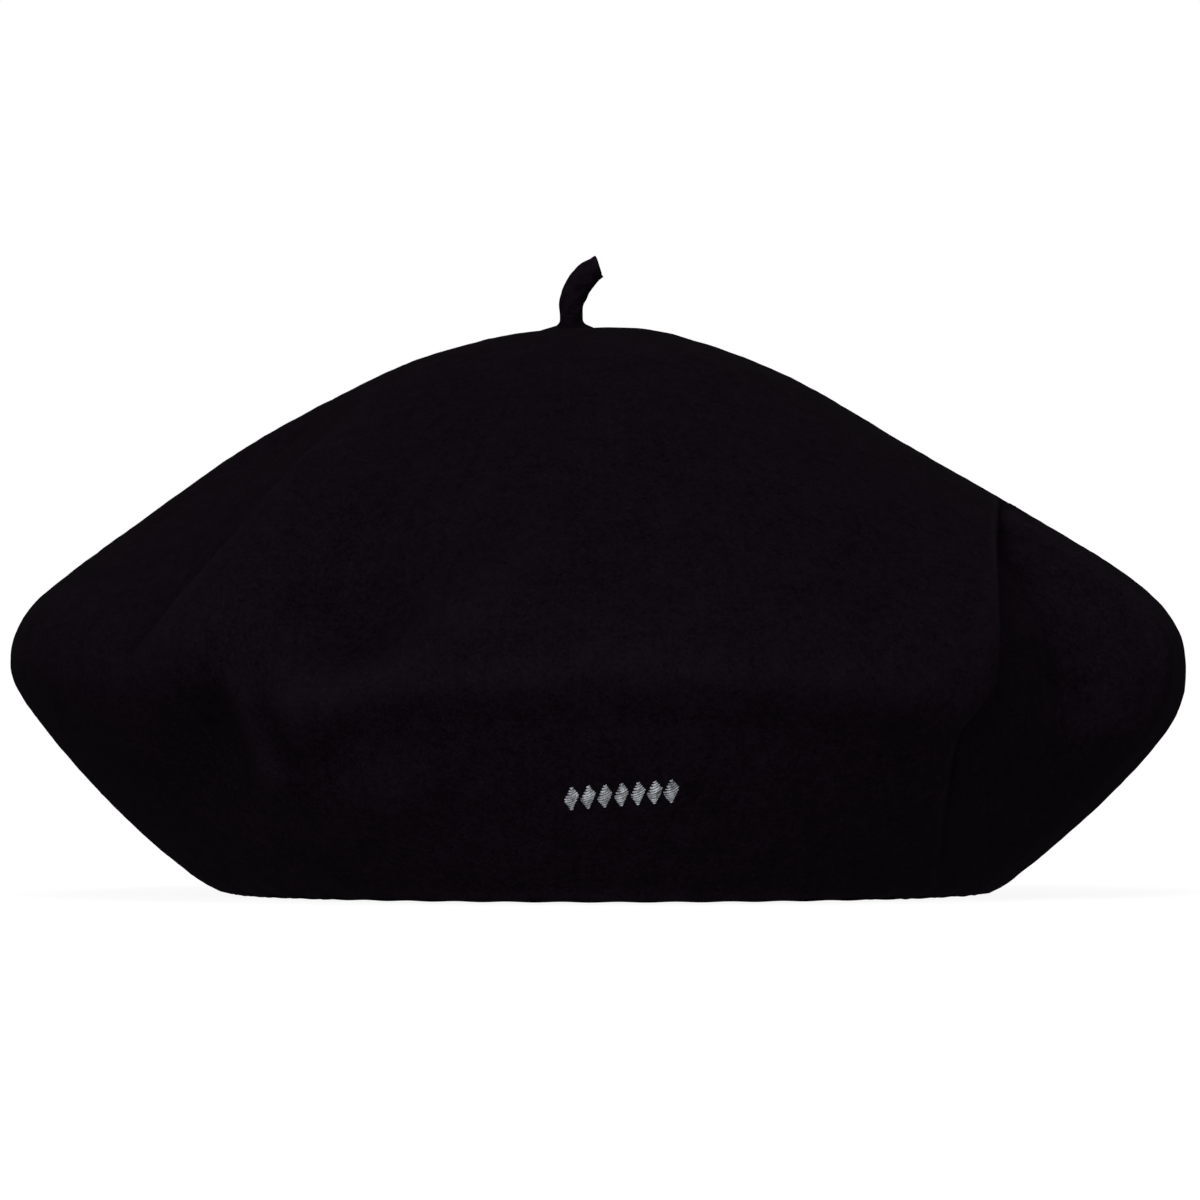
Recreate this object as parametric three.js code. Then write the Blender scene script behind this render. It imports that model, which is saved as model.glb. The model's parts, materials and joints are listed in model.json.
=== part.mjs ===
// A black felted-wool beret with a stem, standing on the edge of its head opening.
// Frame: millimetres, +Z up, the wearer faces -Y, +X is to the right as one looks at the front.
// The origin lies under the middle of the crown, in the plane of the head opening's edge.
import * as THREE from "three";
import { ParametricGeometry } from "three/addons/geometries/ParametricGeometry.js";

// ---- Driving dimensions ----
const CROWN_WIDTH = 264;
const CROWN_DEPTH = 276;
const CROWN_HEIGHT = 127.3;
const STEM_LENGTH = 14.5;
const STEM_RADIUS = 2.4;
const BAND_HEIGHT = 34;

// Thickness of each layer and the clearance that lies outside it, from the felt inwards.
const FELT = 2.2;
const TAPE = 0.5;
const LEATHER = 1;
const CLEARANCE = 0.35;
const LINING = 0.6;
const LINING_GAP = 1.4;
const LINING_SAG = 6;

// Mesh fineness: steps round the hat, and steps between one ring and the next.
const ANGLE_STEPS = 48;
const FELT_STEPS = 2;
const LINING_STEPS = 1;

// ---- The felt's outer surface ----
// Each ring is an oval that the felt passes through, from the stem's eyelet over the rim and
// under to the head opening. A row gives the ring's left, right and front-to-back reach, each
// followed by its height there, as shares of half the width, half the depth and the height.
const RINGS = [
  [-0.045, 1.0, -0.045, 1.0, 0.0, 1.0],
  [-0.19, 0.982, 0.106, 0.994, 0.145, 0.992],
  [-0.364, 0.929, 0.318, 0.918, 0.348, 0.941],
  [-0.576, 0.807, 0.53, 0.792, 0.565, 0.83],
  [-0.788, 0.652, 0.742, 0.666, 0.783, 0.673],
  [-0.917, 0.554, 0.902, 0.563, 0.928, 0.532],
  [-0.977, 0.492, 0.977, 0.487, 0.982, 0.457],
  [-1.0, 0.418, 1.0, 0.407, 1.0, 0.379],
  [-0.98, 0.351, 0.981, 0.312, 0.978, 0.296],
  [-0.894, 0.236, 0.894, 0.201, 0.913, 0.202],
  [-0.788, 0.12, 0.788, 0.098, 0.83, 0.1],
  [-0.689, 0.038, 0.705, 0.031, 0.764, 0.03],
  [-0.62, 0.01, 0.65, 0.01, 0.738, 0.01],
  [-0.62, 0.0, 0.65, 0.0, 0.738, 0.0],
];
const LAST_RING = RINGS.length - 1;
const RIM_RING = 7;

function outline(reachColumn, halfSize) {
  return new THREE.SplineCurve(
    RINGS.map((ring) => new THREE.Vector2(ring[reachColumn] * halfSize, ring[reachColumn + 1] * CROWN_HEIGHT)),
  );
}
const leftOutline = outline(0, CROWN_WIDTH / 2);
const rightOutline = outline(2, CROWN_WIDTH / 2);
const depthOutline = outline(4, CROWN_DEPTH / 2);

// The oval at a ring number, which may lie between two rings.
function oval(ring) {
  const t = ring / LAST_RING;
  const left = leftOutline.getPoint(t);
  const right = rightOutline.getPoint(t);
  const depth = depthOutline.getPoint(t);
  return {
    centre: (left.x + right.x) / 2,
    a: (right.x - left.x) / 2,
    b: depth.x,
    heightAt: (angle) => {
      const side = Math.cos(angle) > 0 ? right.y : left.y;
      return side * Math.cos(angle) ** 2 + depth.y * Math.sin(angle) ** 2;
    },
  };
}

function outerPoint(angle, ring) {
  const o = oval(ring);
  return new THREE.Vector3(o.centre + o.a * Math.cos(angle), o.b * Math.sin(angle), o.heightAt(angle));
}

function outwardNormal(angle, ring) {
  const step = 0.01;
  const from = Math.max(ring - step, 0);
  const to = Math.min(ring + step, LAST_RING);
  if (to < 0.2) return new THREE.Vector3(0, 0, 1);
  const along = outerPoint(angle, to).sub(outerPoint(angle, from));
  const around = outerPoint(angle + step, ring).sub(outerPoint(angle - step, ring));
  const normal = along.cross(around);
  if (ring > LAST_RING - 1) normal.z = 0;
  return normal.normalize();
}

// The point that lies depth inside the felt's outer surface.
function feltPoint(angle, ring, depth) {
  return outerPoint(angle, ring).addScaledVector(outwardNormal(angle, ring), -depth);
}

// The point on an upright band that follows the head opening, depth inside the felt's edge.
const OPENING = oval(LAST_RING);
function bandPoint(angle, height, depth) {
  return new THREE.Vector3(
    OPENING.centre + (OPENING.a - depth) * Math.cos(angle),
    (OPENING.b - depth) * Math.sin(angle),
    height,
  );
}

// ---- Ways of making a closed solid ----
// Carries a closed section round the hat. The section's corners are [place, depth] pairs, and
// pointAt turns an angle, a place and a depth into a point.
function ringed(pointAt, corners) {
  return new ParametricGeometry(
    (u, v, target) => {
      const along = u * (corners.length - 1);
      const i = Math.min(Math.floor(along), corners.length - 2);
      const share = along - i;
      const place = THREE.MathUtils.lerp(corners[i][0], corners[i + 1][0], share);
      const depth = THREE.MathUtils.lerp(corners[i][1], corners[i + 1][1], share);
      target.copy(pointAt(v * 2 * Math.PI, place, depth));
    },
    corners.length - 1,
    ANGLE_STEPS,
  );
}

// The section of a cloth layer between two ring numbers, with its outer and inner depth.
function clothSection(from, to, stepsPerRing, outerDepth, innerDepth, isOpenAtCrown) {
  const steps = Math.round((to - from) * stepsPerRing);
  const outer = [];
  for (let i = 0; i <= steps; i++) outer.push(from + ((to - from) * i) / steps);
  const section = [
    ...outer.map((ring) => [ring, outerDepth(ring)]),
    ...outer.toReversed().map((ring) => [ring, innerDepth(ring)]),
  ];
  if (isOpenAtCrown) section.push(section[0]);
  return section;
}

function bandSection(low, high, outerDepth, thickness) {
  const innerDepth = outerDepth + thickness;
  return [
    [high, outerDepth],
    [low, outerDepth],
    [low, innerDepth],
    [high, innerDepth],
    [high, outerDepth],
  ];
}

// Bends a flat geometry onto the hat. pointAt takes x, y and the depth of the flat z = 0.
function wrapped(geometry, pointAt, baseDepth) {
  const position = geometry.getAttribute("position");
  for (let i = 0; i < position.count; i++) {
    const p = pointAt(position.getX(i), position.getY(i), baseDepth - position.getZ(i));
    position.setXYZ(i, p.x, p.y, p.z);
  }
  return geometry;
}

function extruded(shape, thickness, curveSegments = 6) {
  return new THREE.ExtrudeGeometry(shape, { depth: thickness, bevelEnabled: false, curveSegments });
}

// Halves the interval until wanted(middle) changes from true to false within it.
function lastWhere(wanted, low, high) {
  for (let i = 0; i < 40; i++) {
    const middle = (low + high) / 2;
    if (wanted(middle)) low = middle;
    else high = middle;
  }
  return low;
}

// The felt under the rim at the front, by its x and height.
function frontPoint(x, height, depth) {
  const angleIn = (o) => -Math.acos(THREE.MathUtils.clamp((x - o.centre) / o.a, -1, 1));
  const isAbove = (ring) => oval(ring).heightAt(angleIn(oval(ring))) > height;
  const ring = lastWhere(isAbove, RIM_RING, LAST_RING - 1);
  return feltPoint(angleIn(oval(ring)), ring, depth);
}

// The angle and ring number of the crown's surface over a place in plan.
function crownPlace(x, y) {
  const isOutside = (ring) => {
    const o = oval(ring);
    return ((x - o.centre) / o.a) ** 2 + (y / o.b) ** 2 > 1;
  };
  const ring = lastWhere(isOutside, 0.001, RIM_RING);
  const o = oval(ring);
  return [Math.atan2(y / o.b, (x - o.centre) / o.a), ring];
}

// The inner face of the sweatband at the back.
function backPoint(x, height, depth) {
  return bandPoint(Math.acos((x - OPENING.centre) / (OPENING.a - depth)), height, depth);
}

// ---- Materials ----
const felt = new THREE.MeshStandardMaterial({ color: 0x0e0a0f, roughness: 0.96, metalness: 0 });
const blackThread = new THREE.MeshStandardMaterial({ color: 0x15131a, roughness: 0.7, metalness: 0 });
const greyThread = new THREE.MeshStandardMaterial({ color: 0x6d737c, roughness: 0.55, metalness: 0 });
const satin = new THREE.MeshStandardMaterial({ color: 0x141216, roughness: 0.35, metalness: 0 });
const leather = new THREE.MeshStandardMaterial({ color: 0x1c1817, roughness: 0.5, metalness: 0 });
const twill = new THREE.MeshStandardMaterial({ color: 0x1a191c, roughness: 0.9, metalness: 0 });
const ribbon = new THREE.MeshStandardMaterial({ color: 0x121114, roughness: 0.5, metalness: 0 });
const vinyl = new THREE.MeshStandardMaterial({ color: 0xd8dade, roughness: 0.12, metalness: 0 });
const labelCloth = new THREE.MeshStandardMaterial({ color: 0xd9d6cf, roughness: 0.6, metalness: 0 });
const fleece = new THREE.MeshStandardMaterial({ color: 0xc9c9c6, roughness: 0.95, metalness: 0 });

const beret = new THREE.Group();

function add(name, geometry, material, parent = beret) {
  const mesh = new THREE.Mesh(geometry, material);
  mesh.name = name;
  parent.add(mesh);
  return mesh;
}

// ---- Wool body: crown, rim and underside in one knitted and fulled piece ----
const EYELET_RING = 0.15;
const feltSection = clothSection(EYELET_RING, LAST_RING, FELT_STEPS, () => 0, () => FELT, true);
add("wool_body", ringed(feltPoint, feltSection), felt);

// ---- Stem: a fulled wool cord that stands on the crown and leans to the right ----
const crown = new THREE.Group();
crown.position.copy(outerPoint(0, 0));
beret.add(crown);

const STEM_PIVOT_HEIGHT = STEM_RADIUS + CLEARANCE;
const stemLine = new THREE.CatmullRomCurve3([
  new THREE.Vector3(0, 0, 0),
  new THREE.Vector3(-0.2, 0, 3),
  new THREE.Vector3(0.9, 0, 6.4),
  new THREE.Vector3(3.2, 0, 9.3),
  new THREE.Vector3(6.1, 0, 11.7),
]);
function stemGeometry() {
  const profile = new THREE.Path();
  profile.absarc(0, 0, STEM_RADIUS, -Math.PI / 2, 0, false);
  for (let i = 1; i <= 6; i++) profile.lineTo(STEM_RADIUS, (STEM_LENGTH * i) / 6);
  profile.lineTo(0, STEM_LENGTH);
  const geometry = new THREE.LatheGeometry(profile.getPoints(5), 14);
  const position = geometry.getAttribute("position");
  const side = new THREE.Vector3(0, 1, 0);
  for (let i = 0; i < position.count; i++) {
    const share = THREE.MathUtils.clamp(position.getY(i) / STEM_LENGTH, 0, 1);
    const tangent = stemLine.getTangentAt(share);
    const p = stemLine.getPointAt(share);
    p.addScaledVector(side.clone().cross(tangent), position.getX(i));
    p.addScaledVector(side, -position.getZ(i));
    p.addScaledVector(tangent, Math.min(position.getY(i), 0));
    position.setXYZ(i, p.x, p.y, p.z);
  }
  return geometry;
}
add("stem", stemGeometry(), felt, crown).position.z = STEM_PIVOT_HEIGHT;

// A lathe's own axis is +Y, so its geometry is stood up along +Z.
function turned(points, segments = 20) {
  const profile = points.map(([radius, height]) => new THREE.Vector2(radius, height));
  return new THREE.LatheGeometry(profile, segments).rotateX(Math.PI / 2);
}
const EYELET_RADIUS = outerPoint(0, EYELET_RING).x - crown.position.x;
const plugRadius = EYELET_RADIUS - CLEARANCE;
const knotTop = -FELT - 3 * CLEARANCE;
add("stem_root", turned([
  [0, knotTop - 3.6],
  [3.2, knotTop - 3.3],
  [4.2, knotTop - 1.8],
  [3.4, knotTop - 0.2],
  [plugRadius, knotTop],
  [plugRadius, -0.2],
  [0, -0.2],
]), felt, crown);
add("stem_tack", turned([
  [5.2, knotTop - 0.1],
  [4.7, knotTop - 0.5],
  [5.2, knotTop - 0.9],
  [5.8, knotTop - 0.5],
  [5.2, knotTop - 0.1],
]), blackThread, crown);

// ---- Lining: a satin tip under the crown, and a satin side from the rim to the opening ----
function liningDepth(ring) {
  const share = Math.max(0, 1 - (ring / 4.5) ** 2);
  return FELT + LINING_GAP + LINING_SAG * share * share;
}
function liningPiece(from, to, isOpenAtCrown) {
  const innerDepth = (ring) => liningDepth(ring) + LINING;
  return clothSection(from, to, LINING_STEPS, liningDepth, innerDepth, isOpenAtCrown);
}
const SEAM_RING = 6.5;
add("lining_tip", ringed(feltPoint, liningPiece(0, SEAM_RING, false)), satin);
add("lining_side", ringed(feltPoint, liningPiece(SEAM_RING + 0.15, 11, true)), satin);

// A clear lozenge sewn under the middle of the tip.
const SHIELD_LENGTH = 74;
const SHIELD_WIDTH = 52;
const SHIELD = 0.4;
const SHIELD_CLEARANCE = 1.3;
function shieldPoint(x, y, depth) {
  const [angle, ring] = crownPlace(crown.position.x + x, y);
  return feltPoint(angle, ring, liningDepth(ring) + depth);
}
function shieldGeometry() {
  const geometry = new THREE.BoxGeometry(1, 1, SHIELD, 10, 10, 1);
  const position = geometry.getAttribute("position");
  for (let i = 0; i < position.count; i++) {
    const x = position.getX(i);
    const y = position.getY(i);
    position.setXY(i, (x + y) * SHIELD_LENGTH * 0.5, (y - x) * SHIELD_WIDTH * 0.5);
  }
  return wrapped(geometry, shieldPoint, LINING + SHIELD_CLEARANCE + SHIELD / 2);
}
add("lining_shield", shieldGeometry(), vinyl);

// ---- Head opening: stay tape, leather sweatband and its row of stitches ----
const TAPE_DEPTH = FELT + CLEARANCE;
const LEATHER_DEPTH = TAPE_DEPTH + TAPE + CLEARANCE;
const LEATHER_FACE = LEATHER_DEPTH + LEATHER;
add("stay_tape", ringed(bandPoint, bandSection(1.6, 11, TAPE_DEPTH, TAPE)), twill);
add("sweatband", ringed(bandPoint, bandSection(1.4, BAND_HEIGHT, LEATHER_DEPTH, LEATHER)), leather);
add("sweatband_stitching", ringed(bandPoint, bandSection(3.4, 4.2, LEATHER_FACE + CLEARANCE, 0.5)), blackThread);

// ---- Bow: a folded ribbon with a wrap round its waist, on the sweatband's back joint ----
const BOW_HEIGHT = 18;
const WAIST = 1.3;
const WRAP_WALL = 0.5;
const RIBBON = 1.2;
const RIBBON_DEPTH = LEATHER_FACE + CLEARANCE + WRAP_WALL + CLEARANCE;
const BOW_HALF = [
  [2, WAIST],
  [8, 5.4],
  [13, 5],
  [14.8, 0.6],
  [13.4, -3.4],
  [9.6, -4.2],
  [12.8, -8.4],
  [9.4, -9.8],
  [2, -WAIST],
];
function bowShape() {
  const rightHalf = BOW_HALF.map(([x, y]) => new THREE.Vector2(x, y));
  const leftHalf = BOW_HALF.toReversed().map(([x, y]) => new THREE.Vector2(-x, y));
  return new THREE.Shape([...rightHalf, ...leftHalf]);
}
// The bow is seen from inside the hat, so its flat z runs away from the band and inwards.
function onBack(x, y, depth) {
  return backPoint(x, BOW_HEIGHT + y, -depth);
}
add("bow_ribbon", wrapped(extruded(bowShape(), RIBBON), onBack, -RIBBON_DEPTH), ribbon);

function wrapGeometry() {
  const halfHeight = WAIST + CLEARANCE + WRAP_WALL;
  const reach = RIBBON + 2 * CLEARANCE + 2 * WRAP_WALL;
  const shape = new THREE.Shape([
    new THREE.Vector2(0, -halfHeight),
    new THREE.Vector2(reach, -halfHeight),
    new THREE.Vector2(reach, halfHeight),
    new THREE.Vector2(0, halfHeight),
  ]);
  shape.holes.push(new THREE.Path([
    new THREE.Vector2(WRAP_WALL, -halfHeight + WRAP_WALL),
    new THREE.Vector2(WRAP_WALL, halfHeight - WRAP_WALL),
    new THREE.Vector2(reach - WRAP_WALL, halfHeight - WRAP_WALL),
    new THREE.Vector2(reach - WRAP_WALL, -halfHeight + WRAP_WALL),
  ]));
  const length = 3;
  return extruded(shape, length).translate(0, 0, -length / 2).rotateY(-Math.PI / 2);
}
add("bow_wrap", wrapped(wrapGeometry(), onBack, -LEATHER_FACE - CLEARANCE), ribbon);

// ---- Labels: each hangs by its top edge on the sweatband's inner face ----
const LABEL_TOP = 31;
const LABEL_STAND_OFF = 1.1;
function hangingLabel(name, width, height, thickness, angle) {
  const inward = -Math.cos(angle);
  const hinge = new THREE.Group();
  hinge.position.copy(bandPoint(angle, LABEL_TOP, LEATHER_FACE));
  hinge.position.x += inward * (LABEL_STAND_OFF + thickness / 2);
  hinge.position.y = 0;
  beret.add(hinge);
  const geometry = new THREE.BoxGeometry(thickness, width, height).translate(0, 0, -height / 2);
  add(name, geometry, labelCloth, hinge);
}
hangingLabel("care_label", 22, 24, 0.5, Math.PI);
hangingLabel("size_tab", 14, 13, 0.9, 0);

// ---- Embroidery: a slightly rising row of satin-stitched lozenges, and its backing ----
const MOTIF_COUNT = 7;
const MOTIF_WIDTH = 25.2;
const MOTIF_HEIGHT = 4.6;
const MOTIF_X = 5.1;
const MOTIF_Z = 24.5;
const MOTIF_TILT = THREE.MathUtils.degToRad(4);
const THREAD_RISE = 0.6;
const BACKING = 0.35;
function onFront(x, y, depth) {
  const height = MOTIF_Z + y * Math.cos(MOTIF_TILT) + x * Math.sin(MOTIF_TILT);
  return frontPoint(MOTIF_X + x * Math.cos(MOTIF_TILT) - y * Math.sin(MOTIF_TILT), height, depth);
}
const motifPitch = MOTIF_WIDTH / MOTIF_COUNT;
const motifHalfWidth = (motifPitch - CLEARANCE) / 2;
for (let i = 0; i < MOTIF_COUNT; i++) {
  const x = (i - (MOTIF_COUNT - 1) / 2) * motifPitch;
  const shape = new THREE.Shape([
    new THREE.Vector2(x - motifHalfWidth, 0),
    new THREE.Vector2(x, -MOTIF_HEIGHT / 2),
    new THREE.Vector2(x + motifHalfWidth, 0),
    new THREE.Vector2(x, MOTIF_HEIGHT / 2),
  ]);
  add(`embroidery_lozenge_${i + 1}`, wrapped(extruded(shape, THREAD_RISE), onFront, -CLEARANCE), greyThread);
}
const backingGeometry = new THREE.BoxGeometry(MOTIF_WIDTH + 8, MOTIF_HEIGHT + 5, BACKING, 12, 3, 1);
add("embroidery_backing", wrapped(backingGeometry, onFront, FELT + 0.6 + BACKING / 2), fleece);

export default beret;
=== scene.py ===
# The looks of a black fulled-wool beret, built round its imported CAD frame.
# Everything is in metres in the CAD's own frame: +Z is up, the front faces -Y, and +X is to the
# right as one looks at the front. Sizes that are easier to read in millimetres are times MM.
import json
import math
import random

import bmesh
import bpy
import numpy as np
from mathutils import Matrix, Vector, noise


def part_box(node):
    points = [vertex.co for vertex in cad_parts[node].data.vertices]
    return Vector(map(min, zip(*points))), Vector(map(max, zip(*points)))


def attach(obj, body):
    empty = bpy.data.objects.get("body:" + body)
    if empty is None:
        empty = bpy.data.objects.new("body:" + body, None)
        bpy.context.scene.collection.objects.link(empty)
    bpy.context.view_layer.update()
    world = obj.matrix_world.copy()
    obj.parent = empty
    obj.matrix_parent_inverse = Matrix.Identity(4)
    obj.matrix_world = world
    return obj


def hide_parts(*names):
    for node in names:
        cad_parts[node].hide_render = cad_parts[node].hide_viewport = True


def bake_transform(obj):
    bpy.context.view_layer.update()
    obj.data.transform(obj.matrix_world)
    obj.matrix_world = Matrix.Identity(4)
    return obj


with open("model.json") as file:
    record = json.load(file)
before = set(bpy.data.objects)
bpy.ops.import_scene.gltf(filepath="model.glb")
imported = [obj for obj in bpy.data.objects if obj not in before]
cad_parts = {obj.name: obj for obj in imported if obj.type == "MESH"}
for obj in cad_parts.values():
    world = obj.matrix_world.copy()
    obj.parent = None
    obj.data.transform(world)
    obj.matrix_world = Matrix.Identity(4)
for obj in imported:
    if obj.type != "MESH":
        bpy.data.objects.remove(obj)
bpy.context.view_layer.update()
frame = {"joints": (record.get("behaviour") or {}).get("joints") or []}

MM = 0.001
random.seed(7)

# ---- Driving dimensions, from the frame ----
body_low, body_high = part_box("wool_body")
HALF_WIDTH = (body_high.x - body_low.x) / 2
HALF_DEPTH = (body_high.y - body_low.y) / 2
CROWN_HEIGHT = body_high.z
STEM_PIVOT = next(Vector(joint["pos_m"]) for joint in frame["joints"] if joint["name"] == "stem_bend")

# Each layer lies this far inside the felt's outer face, and has this thickness.
FELT = 2.2 * MM
LINING_GAP = 1.5 * MM
LINING = 0.5 * MM
LINING_SAG = 6 * MM
SHIELD = 0.4 * MM
TAPE_DEPTH = 2.55 * MM
TAPE = 0.5 * MM
LEATHER_DEPTH = 3.4 * MM
LEATHER = 1.0 * MM
LEATHER_FACE = LEATHER_DEPTH + LEATHER

# ---- Camera: straight in front, level with the middle of the picture ----
CAMERA_DISTANCE = 3.5
CAMERA_HEIGHT = 66.4 * MM
CAMERA_RIGHT = 0.45 * MM
VIEW_WIDTH = 269.8 * MM
SENSOR = 36

# ---- Small tools ----
def cad_box(node):
    """A CAD node's lowest corner, highest corner, middle and half size."""
    low, high = (np.array(corner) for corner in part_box(node))
    return low, high, (low + high) / 2, (high - low) / 2


def smooth(low, high, x):
    """0 up to low, 1 from high, and an S curve between."""
    t = np.clip((x - low) / (high - low), 0, 1)
    return t * t * (3 - 2 * t)


def bell(x, width):
    """1 at x = 0, falling to 0.6 one width away and to nothing beyond three."""
    return np.exp(-0.5 * (x / width) ** 2)


def curve_through(values, t):
    """A uniform Catmull-Rom curve through the values, at the places t from 0 to len - 1."""
    values = np.asarray(values, float)
    last = len(values) - 1
    i = np.clip(np.floor(t).astype(int), 0, last - 1)
    w = t - i
    before = values[np.maximum(i - 1, 0)]
    here = values[i]
    there = values[i + 1]
    after = values[np.minimum(i + 2, last)]
    if values.ndim > 1:
        w = w[..., None]
    v0 = (there - before) / 2
    v1 = (after - here) / 2
    cubic = (2 * here - 2 * there + v0 + v1) * w**3
    square = (3 * there - 3 * here - 2 * v0 - v1) * w**2
    return cubic + square + v0 * w + here


def length_along(points):
    """The distance from the first of some points to each of them, along the line they make."""
    return np.concatenate([[0], np.cumsum(np.linalg.norm(np.diff(points, axis=0), axis=1))])


def circle_places(count):
    """The angles of evenly spaced places round a circle."""
    return np.arange(count) * 2 * math.pi / count


def line_through(points, count):
    """count points, evenly spaced along a smooth curve through the given points."""
    fine = curve_through(points, np.linspace(0, len(points) - 1, 40 * len(points)))
    length = length_along(fine)
    wanted = np.linspace(0, length[-1], count)
    return np.stack([np.interp(wanted, length, fine[:, k]) for k in range(fine.shape[1])], 1)


def unit(vectors):
    length = np.linalg.norm(vectors, axis=-1, keepdims=True)
    return vectors / np.maximum(length, 1e-12)


def noise_at(points, scale, seed):
    """Smooth noise from -1 to 1 at the points, with features about scale metres across."""
    shift = Vector((seed * 13.7, seed * 5.1, seed * 9.3))
    flat = points.reshape(-1, 3) / scale
    values = [noise.noise(Vector(p) + shift) for p in flat]
    return np.array(values).reshape(points.shape[:-1])


def new_object(name, points, faces, slot, merge=1e-6):
    """A closed mesh object in a slot's look. Points that coincide are merged, and faces look out."""
    mesh = bpy.data.meshes.new(name)
    mesh.from_pydata(np.asarray(points).reshape(-1, 3).tolist(), [], faces)
    mesh.validate()
    mesh.materials.append(LOOKS[slot])
    mesh.shade_smooth()
    work = bmesh.new()
    work.from_mesh(mesh)
    bmesh.ops.remove_doubles(work, verts=work.verts, dist=merge)
    bmesh.ops.recalc_face_normals(work, faces=work.faces)
    work.to_mesh(mesh)
    work.free()
    obj = bpy.data.objects.new(name, mesh)
    bpy.context.scene.collection.objects.link(obj)
    return obj


def add_piece(name, node, slot, points, faces, merge=1e-6):
    """A piece that rides on the hat's body, in place of a CAD node where one is named."""
    piece = new_object(name, points, faces, slot, merge)
    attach(piece, "root")
    if node:
        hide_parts(node)
    return piece


def add_sheet(name, node, slot, grid, thickness, wraps=True, merge=1e-6):
    """A piece that is a closed sheet, with its middle at a grid of points."""
    points, faces = sheet_solid(grid, thickness, wraps)
    return add_piece(name, node, slot, points, faces, merge)


def grid_faces(rows, columns, closed_rows=False, closed_columns=False):
    """The four-cornered faces of a grid of points, row by row."""
    faces = []
    for i in range(rows if closed_rows else rows - 1):
        for j in range(columns if closed_columns else columns - 1):
            i2 = (i + 1) % rows
            j2 = (j + 1) % columns
            faces.append((i * columns + j, i2 * columns + j, i2 * columns + j2, i * columns + j2))
    return faces


def sheet_solid(grid, thickness, wraps=False):
    """The points and faces of a closed sheet whose middle is a grid of points."""
    rows, columns = grid.shape[:2]
    if wraps:
        around = np.roll(grid, -1, axis=1) - np.roll(grid, 1, axis=1)
    else:
        around = np.gradient(grid, axis=1)
    normal = unit(np.cross(np.gradient(grid, axis=0), around))
    half = normal * np.broadcast_to(np.asarray(thickness) / 2, (rows, columns))[..., None]
    points = np.concatenate([grid + half, (grid - half)[::-1]])
    faces = grid_faces(2 * rows, columns, True, wraps)
    if not wraps:
        for i in range(rows - 1):
            behind = (2 * rows - 1 - i) * columns
            for j in (0, columns - 1):
                faces.append((i * columns + j, (i + 1) * columns + j, behind - columns + j, behind + j))
    return points, faces


class Parts:
    """Collects the points and faces of many small solids into one mesh."""

    def __init__(self):
        self.points = []
        self.faces = []

    def add(self, points, faces):
        first = len(self.points)
        self.points.extend(np.asarray(points).reshape(-1, 3).tolist())
        self.faces.extend(tuple(first + i for i in face) for face in faces)

    def add_tube(self, line, radius, sides=8, up=(0, 0, 1)):
        """A closed tube along a line of points."""
        count = len(line)
        tangent = unit(np.gradient(line, axis=0))
        side = unit(np.cross(tangent, up))
        over = np.cross(side, tangent)
        angles = circle_places(sides)[None, :, None]
        ring = side[:, None] * np.cos(angles) + over[:, None] * np.sin(angles)
        points = line[:, None] + ring * radius
        faces = grid_faces(count, sides, closed_columns=True)
        faces.append(tuple(range(sides))[::-1])
        faces.append(tuple((count - 1) * sides + i for i in range(sides)))
        self.add(points, faces)

    def build(self, name, node, slot):
        return add_piece(name, node, slot, self.points, self.faces)


# ---- Materials ----
# Every material, under the name of its slot or its stage piece.
LOOKS = {}


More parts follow.
